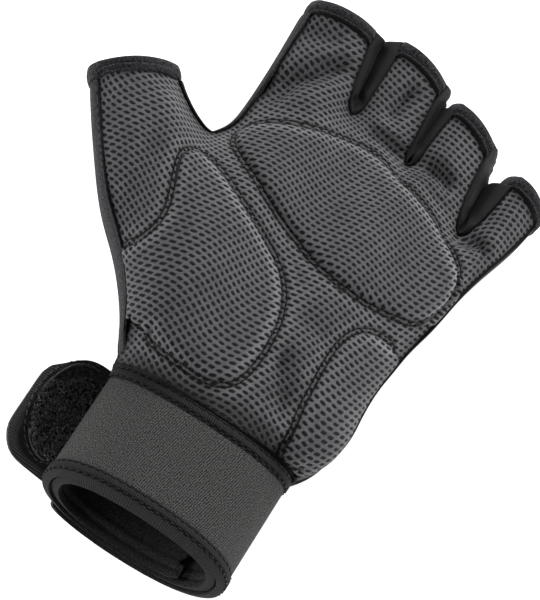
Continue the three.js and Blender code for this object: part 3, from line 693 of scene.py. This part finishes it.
def dented(at):
    total = np.zeros(len(at))
    for line, wide, deep in FOLDS:
        away = np.full(len(at), 99.0)
        for a, b in zip(line[:-1], line[1:]):
            a, b = np.array(a), np.array(b)
            flat = at[:, :2] / MM - a
            along = np.clip(flat @ (b - a) / np.dot(b - a, b - a), 0, 1)
            away = np.minimum(away, np.linalg.norm(flat - along[:, None] * (b - a), axis=1) / wide)
        total -= deep * (1 - 0.5 * away ** 2) * np.exp(-0.9 * away ** 2)
    return DEEPER * total


print(len(FOLDS), "folds in the leather")

# %% Shape the leather: seams, the hollow under pads and the folds
ROWS = (-0.05, -1.65)  # where the two rows of stitches lie, in mm from a pad's edge
grooves = -0.6 * bump(nearest, 0, 0.5) - 0.55 * bump(nearest, -1.65, 0.42)
waves = 0.16 * np.sin(at[:, 0] / MM * 0.21 + 1.3 * np.sin(at[:, 1] / MM * 0.11)) * np.sin(at[:, 1] / MM * 0.17)
clear = rise(-nearest, 0.5, 5)
wrist_rim = [v for v in rim_points if at[v][1] < -30 * MM]
wrist = away_from(at, at[wrist_rim])
dents = soften(palm, dented(at) * clear * rise(from_edge, 0, 3) - (1 - rise(wrist, 0, 9)), 6)
under = -1.3 * rise(nearest, 0.2, 2.2) * rise(from_edge, 0.5, 2.0)
base = palm.data.copy()
press(palm, grooves + waves + dents + under, facing)
# Painted shade in the stitch grooves, in the folds, near the wrist edge that runs under the wrap, and along the
# leather's own edge.
groove_shade = sum(0.75 * bump(nearest, row, 0.32) for row in ROWS)
painted(palm, "painted_shade", groove_shade + 0.12 * np.clip(-dents / 2, 0, 1) + 0.6 * (1 - rise(wrist, 0, 7))
        + 0.85 * (1 - rise(from_edge, 0.1, 1.0)))
# Painted highlight on the leather a few millimetres outside the pads.
painted(palm, "painted_highlight", 0.3 * bump(nearest, -4, 1.6))
palm_at = points_of(palm).copy()
print("folds reach", round(-float(dents.min()), 1), "mm into the leather")

# %% Which shoulders of a pad face up and left, where the leather catches more light
def sunny(depth):
    ends = np.array([edge.vertices[:] for edge in palm.data.edges]).T
    run = at[ends[1]] - at[ends[0]]
    climb = (depth[ends[1]] - depth[ends[0]]) / (np.sum(run ** 2, axis=1) / MM ** 2 + 1e-9)
    slope = np.array([sum(np.bincount(ends[i], climb * run[:, k] / MM, len(at)) for i in (0, 1)) for k in (0, 1)])
    slope = slope / (np.linalg.norm(slope, axis=0) + 1e-9)
    return rise(-(slope[0] * 0.8 + slope[1] * 0.6), -0.2, 0.8)


# %% Raise each pad from the palm
# Each pad's height at its shoulder, and how much more it rises to its middle, in mm.
PADS = {"thenar_pad": (2.0, 3.0), "metacarpal_pad": (2.2, 2.2), "hypothenar_pad": (1.8, 1.5)}
for node, depth in inward.items():
    tall, dome = PADS[node]
    pad = linked(node.replace("_pad", "_patch"), base.copy())
    keep = depth > -1.1
    held = np.minimum(depth, from_edge * 0.8)
    shoulder = tall * np.clip(1 - (1 - np.clip(held / 5.5, 0, 1)) ** 2, 0, 1) ** 0.65
    crown = dome * soften(pad, rise(held, 1, 24), 150) * rise(depth, 0, 5)
    tuck = -0.9 * rise(-depth, 0.0, 1.0) - 0.5 * bump(depth, 0, 0.75)
    press(pad, np.where(depth > 0, shoulder + crown, 0) + tuck + waves * 0.6, facing)
    # Painted shade along the pad's seam.
    painted(pad, "painted_shade", 0.6 * bump(depth, -0.1, 0.45))
    # Painted highlight on the pad's shoulder, stronger where the shoulder faces the light.
    painted(pad, "painted_highlight", 0.75 * bump(depth, 2, 1.7) * (0.35 + 0.65 * sunny(depth)))
    bm = bmesh.new()
    bm.from_mesh(pad.data)
    bm.verts.ensure_lookup_table()
    loose = [f for f in bm.faces if not all(keep[v.index] for v in f.verts)]
    bmesh.ops.delete(bm, geom=loose, context="FACES")
    bm.to_mesh(pad.data)
    bm.free()
    walled(pad, 0.9, leather)
    dressed(pad, leather, "grip_leather", node)

# %% Give the palm its wall, and a lining that reaches under the hems and side strips
backing = object_of("palm_lining", skin("palm_panel", grow=2.6))
subdivided(backing, 2)
press(backing, dented(points_of(backing)) - 1.9)
walled(backing, 0.5, lining)
dressed(backing, lining, "grip_leather")
palm_seams = {node: [traced(palm, depth, row) for row in ROWS] for node, depth in inward.items()}
walled(palm, 1.5, leather, lining)
dressed(palm, leather, "grip_leather", "palm_panel")

# %% [markdown]
# ## Stitches
# A lockstitch shows as a row of short thread lengths that dip into the leather at their ends. One curve with a round
# profile would look like a cord, and a dark line in the material would stay flat. So one long, squashed sphere of a
# few dozen faces is repeated along the traced line, each a little askew, as a twisted thread lies.

# %% Sew along traced lines: a stitch every pitch, its length and radius in millimetres
def sewn(name, lines, pitch, length, radius, lift=0.0):
    bm = bmesh.new()
    count = 0
    for line in lines:
        stops = even(line, pitch)
        for before, after in zip(stops[:-1], stops[1:]):
            middle = Vector((before[:3] + after[:3]) / 2)
            ahead = Vector(after[:3] - before[:3]).normalized()
            out = Vector(before[3:] + after[3:]).normalized()
            side = out.cross(ahead).normalized()
            ahead = (ahead + side * random.uniform(0.08, 0.2)).normalized()
            side = out.cross(ahead).normalized()
            turned = Matrix((side, ahead.cross(side), ahead)).transposed().to_4x4()
            size = Matrix.Diagonal((radius * MM, radius * MM, length / 2 * MM, 1))
            bmesh.ops.create_uvsphere(
                bm, u_segments=6, v_segments=5, radius=1,
                matrix=Matrix.Translation(middle + out * lift * MM) @ turned @ size)
            count += 1
    obj = object_of(name, bm)
    obj.data.shade_smooth()
    print(name, "has", count, "stitches")
    return obj


# %% Sew the pads, but not over the leather's own edge, where the thread runs on under the side strip
def clear_of(line, rim, room):
    keep = away_from(line[:, :3], rim) > room
    turns = np.flatnonzero(np.diff(keep.astype(int))) + 1
    return [run for run, kept in zip(np.split(line, turns), np.split(keep, turns)) if kept[0] and len(run) > 1]


for node, (inner_row, outer_row) in palm_seams.items():
    parts = [part for line in inner_row + outer_row for part in clear_of(line, palm_at[rim_points], 1.3)]
    long = [part for part in parts if run_of(part) > 12]
    dressed(sewn(node.replace("_pad", "_seam"), long, 2.1, 1.8, 0.34, 0.15), thread, "grip_leather")

# %% [markdown]
# ## Side strips and the fabric between the fingers
# Strips of knit along the thumb and index finger, and of stretch fabric along the little finger and between the
# fingers, join the palm to the back. They could be skins with a wall as the leather is, but they are narrow, and both
# of their sides show. So they keep their closed shape, and their sharp rims are bevelled, so that subdivision rounds
# them and leaves their width alone.

# %% Round a closed piece
def rounded(name, node, rim=0.45, levels=2):
    bm = merged(node)
    sharp = [e for e in bm.edges if e.calc_face_angle(0) > math.radians(50)]
    bmesh.ops.bevel(bm, geom=sharp, affect="EDGES", offset=rim * MM, segments=2, profile=0.5, material=-1,
                    clamp_overlap=True)
    return subdivided(object_of(name, bm), levels)


# %% The side strips, drawn in where they bulge outwards, and tapered where they run under the wrap
STRIPS = (("thumb_gusset", -1, 1.5, melange, "melange_knit"), ("index_gusset", -1, 0.0, melange, "melange_knit"),
          ("little_gusset", 1, 1.5, stretch, "stretch_fabric"))
for node, way, by, cloth, slot in STRIPS:
    strip = rounded(node.replace("gusset", "side_strip"), node)
    spots, outside = points_of(strip), points_of(strip, "normal")[:, 0] * way
    spots[:, 0] -= way * by * rise(outside, 0.1, 0.6) * MM
    down = -spots[:, 1] / MM
    if node == "little_gusset":
        spots[:, 0] -= (1.2 * rise(down, 25, 45) + rise(down, 44, 50)) * MM
    if node == "thumb_gusset":
        spots[:, 0] += 2.2 * rise(down, 40, 50) * MM
    moved_to(strip, spots)
    beside = away_from(spots, palm_at[rim_points])
    # Painted shade along the leather's edge and in a line 2 mm from it, fading out under the wrap.
    seam = 0.95 * (1 - rise(beside, 0.4, 1.3)) + 0.5 * bump(beside, 2, 0.4)
    painted(strip, "painted_shade", seam * (1 - rise(down, 40, 46)))
    dressed(strip, cloth, slot, node)

# %% Let the fabric between two fingers fill its slit and run out over the hems
def filled(obj, reach):
    at, facing = points_of(obj), points_of(obj, "normal")
    x, y, z = at.T / MM
    # The strip's middle line, and how far each side stands off it, every 2 mm along the fingers.
    bins = np.arange(y.min(), y.max() + 2, 2)
    middle = np.interp(y, bins, [np.ptp(x[np.abs(y - b) < 3]) / 2 + x[np.abs(y - b) < 3].min() for b in bins])
    side = np.where(x > middle, 1, -1)
    room = np.zeros(len(x))
    for way in (-1, 1):
        gaps = [min([abs(g) for g in (x - middle)[(np.abs(y - b) < 2.5) & (side == way)]], default=0) for b in bins]
        room = np.where(side == way, np.interp(y, bins, gaps), room)
    # Near its top the fabric rolls out to one side, lower down its two sides meet, and the other side slopes.
    tall = np.clip((z - z.min()) / (z.max() - z.min()), 0, 1)
    room = np.maximum(room - 0.2, 0)
    roll = np.minimum(1.7, room + 0.8) * bump(tall, 0.84, 0.13) * rise(y - y.min(), 3, 9)
    meet = room + 1.0
    deep = meet * rise(tall, 0, 0.25) * (1 - rise(tall, 0.5, 0.74))
    slope = meet * rise(tall, 0, 0.25) * (1 - rise(tall, 0.5, 0.97)) + 0.4 * np.sin(math.pi * tall)
    out = np.where(side < 0, np.maximum(roll, deep), slope)
    folds = 0.5 * np.sin(z * 1.0 + y * 0.6) * rise(y - y.min(), 1, 3) * (1 - rise(y - y.min(), 6, 13))
    # Each side runs on past the hem, straight along its own finger.
    for way in (-1, 1):
        mine = side == way
        lean = np.polyfit(y[mine], x[mine], 1)[0]
        far = y[mine].max()
        longer = reach * rise(y, far - 7, far) * mine
        at[:, 0] += (lean * longer - way * 0.7 * rise(y, far - 4, far) * mine * (tall > 0.5)) * MM
        at[:, 1] += longer * MM
    open_side = rise(-facing[:, 0] * side, -0.3, 0.2)
    at[:, 0] -= side * (out + folds) * open_side * MM
    moved_to(obj, at)
    # Painted shade deep in the slit, on its open side.
    painted(obj, "painted_shade", 0.97 * (1 - rise(tall, 0.62, 0.86)) * open_side)
    print(obj.name, "bulges by up to", round(float(out.max()), 1), "mm")
    return obj


for node in ("index_middle_fourchette", "middle_ring_fourchette", "ring_little_fourchette"):
    dressed(filled(rounded(node + "_fabric", node, levels=3), 5.2), stretch, "stretch_fabric", node)

# %% [markdown]
# ## Hems
# Each finger ends in a folded band of melange knit that covers the raw edge of the leather. Its fold could come from
# a bevel alone, but sewing gives it more: a line of stitches 1.9 mm from the leather presses the band in, so that a
# narrow roll stands beside the leather and the folded edge swells a little.

# %% The hems
SEWN = 1.9
for node in ("index_hem", "middle_hem", "ring_hem", "little_hem", "thumb_hem"):
    band = rounded(node + "_band", node)
    gap = away_from(points_of(band), palm_at[rim_points])
    press(band, 0.45 * bump(gap, 1.1, 0.6) - 0.4 * bump(gap, SEWN, 0.4) + 0.25 * rise(gap, 2.2, 3.4))
    # Painted shade beside the leather's edge and along the row of stitches.
    painted(band, "painted_shade", 0.95 * (1 - rise(gap, 0.4, 1.3)) + 0.5 * bump(gap, SEWN, 0.4))
    lines = [line for line in traced(band, gap, SEWN) if run_of(line) > 15]
    dressed(sewn(node + "_seam", lines, 2.1, 1.9, 0.26, 0.1), thread, "melange_knit")
    dressed(band, melange, "melange_knit", node)

# %% [markdown]
# ## The back and the cuff
# A panel of stretch fabric covers the back of the hand, and a tube of it runs from the hand into the wrap. Both lie
# mostly out of sight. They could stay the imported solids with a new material, but a rounded skin with a thin wall and
# a lining looks right through the finger openings too.

# %% The back and the cuff
for node, grow in (("back_panel", 1.4), ("cuff", 0.4)):
    cloth = object_of(node + "_fabric", skin(node, grow=grow))
    subdivided(cloth, 2)
    walled(cloth, 1.2, stretch, lining)
    dressed(cloth, stretch, "stretch_fabric", node)

# %% [markdown]
# ## The wrist wrap
# The wrap is a woven elastic band, bound on both long edges with a folded twill tape and wound round the wrist a
# little over twice. It ends in a tab that carries a patch of hook tape. A band could be swept along a spiral in
# Blender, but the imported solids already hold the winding, so their skins are rounded and given the real walls. The
# tapes are thicker than the elastic, and their row of stitches sinks half a millimetre in.

# %% Round the corners of a skin's outline
def cornered(obj, blur, reach):
    at = points_of(obj)
    run = max((r for r, closed in chained(rim_edges(obj))), key=len)
    step = 0.3
    ring = even(at[run + run[:1]], step)[:-1]
    smooth = ring.copy()
    for _ in range(int(2 * (blur / step) ** 2)):
        smooth = (np.roll(smooth, 1, axis=0) + 2 * smooth + np.roll(smooth, -1, axis=0)) / 4
    find = nearest_of(ring)
    for i, point in enumerate(at.copy()):
        spot, k, gap = find(point)
        at[i] += (smooth[k] - ring[k]) * (1 - rise(gap / MM, 0, reach))
    moved_to(obj, at)


# %% The elastic
wrap = object_of("wrist_wrap", skin("wrist_strap", grow=0.3))
lay_flat(wrap, (0, 1, 0))
subdivided(wrap, 3)
walled(wrap, 2.2, elastic, lining, rim=0.3)
dressed(wrap, elastic, "woven_elastic", "wrist_strap")

# %% The two tapes, sewn 0.7 mm from the edge that lies on the elastic
wrap_middle = points_of(wrap)[:, 1].mean()
for node in ("strap_upper_binding", "strap_lower_binding"):
    tape = object_of(node + "_tape", skin(node))
    lay_flat(tape, (0, 1, 0))
    subdivided(tape, 3)
    gap = away_from(points_of(tape), points_of(tape)[rim_of(tape)])
    press(tape, 0.45 * rise(gap, 0.0, 1.6))
    lines = [line for line in traced(tape, gap, 0.7) if run_of(line) > 20]
    off_middle = [abs(line[:, 1].mean() - wrap_middle) for line in lines]
    lines = [line for line, off in zip(lines, off_middle) if off < min(off_middle) + 2 * MM]
    row = np.vstack([even(line, 0.3) for line in lines])
    press(tape, -0.5 * bump(away_from(points_of(tape), row), 0, 0.4))
    dressed(sewn(node + "_seam", lines, 2.9, 1.9, 0.34, 0.0), thread, "twill_tape")
    walled(tape, 2.9, twill, lining, rim=0.9)
    dressed(tape, twill, "twill_tape", node)

# %% The tab, with one end drawn in and its corners rounded, and the bed of the hook patch, rounded to an oval
tab = object_of("wrap_tab", skin("strap_tab", toward=(0, 0, 1), grow=1.1))
lay_flat(tab, (1, 0, 0))
subdivided(tab, 3)
bed = rounded("hook_patch_bed", "hook_patch", 0.4, 3)
centre, half = (-20, -73), (11.6, 18.5)
for piece in (tab, bed):
    spots = points_of(piece) / MM
    spots[:, 1] += 5.0 * rise(-spots[:, 1], 74, 100)
    if piece is bed:
        # Each point keeps its share of the way out, and a point towards a corner is pulled in to the oval.
        u, v = np.minimum((spots[:, 0] - centre[0]) / half[0], 0), (spots[:, 1] - centre[1]) / half[1]
        reach = np.hypot(u, v) + 1e-9
        share = 1 - 0.85 * (1 - np.maximum(np.abs(u), np.abs(v)) / reach) * rise(reach, 0.3, 1.0)
        spots[:, 0] = np.where(u < 0, centre[0] + half[0] * u * share, spots[:, 0])
        spots[:, 1] = centre[1] + half[1] * v * share
    moved_to(piece, spots * MM)
cornered(tab, 2.6, 9)
gap = away_from(points_of(tab), points_of(tab)[rim_of(tab)])
press(tab, 0.5 * bump(gap, 1.8, 1.3))

# %% [markdown]
# ## The hook patch
# Hook tape is a nylon tape with thousands of stiff cut loops, and a thick overlocked edge that is sewn down. Hooks
# could be hair particles, but real meshes are kept by every export. So each hook is a thin three-sided cone, leaning
# its own way, that is set where a ray from above meets the patch. Together they give the tape's rough, dark face.

# %% Find a spot on the first of several pieces, from above
def resting(pieces, spots):
    trees = [tree_of(piece) for piece in pieces]
    found = []
    for x, y in spots:
        hits = [tree.ray_cast(Vector((x * MM, y * MM, DROP)), DOWN)[:2] for tree in trees]
        found += [hit for hit in hits if hit[0]][:1]
    return found


# %% The patch's rolled edge and its seam, on the round side of an oval
MID_X, MID_Y = -19.5, -71.5
outline = []
for step in range(61):
    turn = math.radians(88 + step * 3.4)
    wide = 12.1 if math.cos(turn) < 0 else 12.1 * 0.4
    outline.append((MID_X + wide * math.cos(turn), MID_Y + 18.0 * math.sin(turn)))
for name, out, pitch, length, radius, lift in (
        ("hook_patch_edge", 0.0, 0.5, 1.1, 0.5, 0.7), ("hook_patch_seam", 1.4, 2.7, 2.1, 0.32, 0.2)):
    path = [(MID_X + (x - MID_X) * (1 + out / 12), MID_Y + (y - MID_Y) * (1 + out / 18)) for x, y in outline]
    line = np.array([list(hit) + list(way if way.z > 0 else -way) for hit, way in resting([tab], path)])
    dressed(sewn(name, [line], pitch, length, radius, lift), selvedge, "hook_tape")

# %% The hooks
HOOKS = 3600
bm = bmesh.new()
places = []
while len(places) < HOOKS:
    x, y = random.uniform(-32, -12), random.uniform(-90, -53)
    if ((x - MID_X) / 11.8) ** 2 + ((y - MID_Y) / 17.8) ** 2 < 1 or x > MID_X:
        places.append((x, y))
for hit, way in resting([bed, tab], places):
    lean = Vector((random.uniform(-1, 1), random.uniform(-1, 1), random.uniform(0.2, 1.0))).normalized()
    long = random.uniform(0.5, 1.3) * MM
    bmesh.ops.create_cone(
        bm, segments=3, radius1=0.1 * MM, radius2=0.05 * MM, depth=long, cap_ends=True,
        matrix=Matrix.Translation(hit + lean * long * 0.4) @ lean.to_track_quat("Z", "Y").to_matrix().to_4x4())
dressed(object_of("hook_patch_hooks", bm), fibre_hook, "hook_tape")

# %% The tab gets its wall last, so that the patch rests on its plain skin
# The tab's tape is drawn paler, as painted light.
walled(tab, 2.3, tab_twill_painted_light, rim=0.8)
dressed(tab, tab_twill_painted_light, "woven_elastic", "strap_tab")
dressed(bed, hook, "hook_tape", "hook_patch")

# %% [markdown]
# ## Floor and light
# The glove lies on a plain white board, as in a product studio. An HDR picture could light it, but plain lamps keep
# the file free of pictures. Round soft lamps stand behind the fingertips, to the right and to the left, low enough to
# graze the pads and the embossing, with a weak one above and one in front that opens the shadows under the wrap. The
# board glows a little, so that it stays white beside a dark glove.

# %% Stage and lights
bm = bmesh.new()
bmesh.ops.create_grid(bm, x_segments=1, y_segments=1, size=3)
bmesh.ops.translate(bm, verts=bm.verts, vec=(0, 0, cad_box[0][2] - 0.0003))
floor = object_of("studio_floor", bm)
card, tree, shader = finish_named("painted_board", Roughness=0.9, Specular_IOR_Level=0.1)
# Matt white paint on board, with hardly any difference in tone from place to place.
fibre = add(tree, "ShaderNodeTexNoise", {"Scale": 3.0}, {
    "Vector": add(tree, "ShaderNodeTexCoord").node.outputs["Object"]})
tree.links.new(between(tree, fibre, 0.3, 0.7, "#f6f6f6", "#fafafa"), shader.inputs["Base Color"])
shader.inputs["Emission Color"].default_value = linear("#ffffff")
shader.inputs["Emission Strength"].default_value = 0.8
floor.data.materials.append(card)


def lamp(name, place, size, power):
    light = bpy.data.lights.new(name, "AREA")
    light.shape, light.size, light.energy = "DISK", size, power
    way = Vector((0, 0, 0.02)) - Vector(place)
    linked(name, light).matrix_world = Matrix.Translation(place) @ way.to_track_quat("-Z", "Y").to_matrix().to_4x4()
    print(name, "gives", power, "W from", round(way.length, 2), "m")


# Places and widths in metres, power in watts.
lamp("key_light", (0.0, 1.2, 0.5), 0.45, 18)
lamp("right_light", (1.15, 0.45, 0.35), 0.35, 11)
lamp("left_light", (-1.1, -0.35, 0.55), 0.6, 8)
lamp("top_light", (-0.5, -0.4, 1.3), 0.8, 1.5)
lamp("front_light", (-0.35, -1.2, 0.3), 0.35, 6)
bpy.context.scene.view_settings.view_transform = "Standard"
world = bpy.data.worlds.new("studio_air")
bpy.context.scene.world = world
world.use_nodes = True
world.node_tree.nodes["Background"].inputs["Color"].default_value = linear("#ffffff")
world.node_tree.nodes["Background"].inputs["Strength"].default_value = 0.08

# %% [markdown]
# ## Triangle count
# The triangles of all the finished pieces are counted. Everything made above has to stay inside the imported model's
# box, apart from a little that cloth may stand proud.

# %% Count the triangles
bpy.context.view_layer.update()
made = [obj for obj in bpy.context.scene.objects if obj.type == "MESH" and obj.data.loop_triangles]
print("triangles in all:", sum(len(obj.data.loop_triangles) for obj in made))
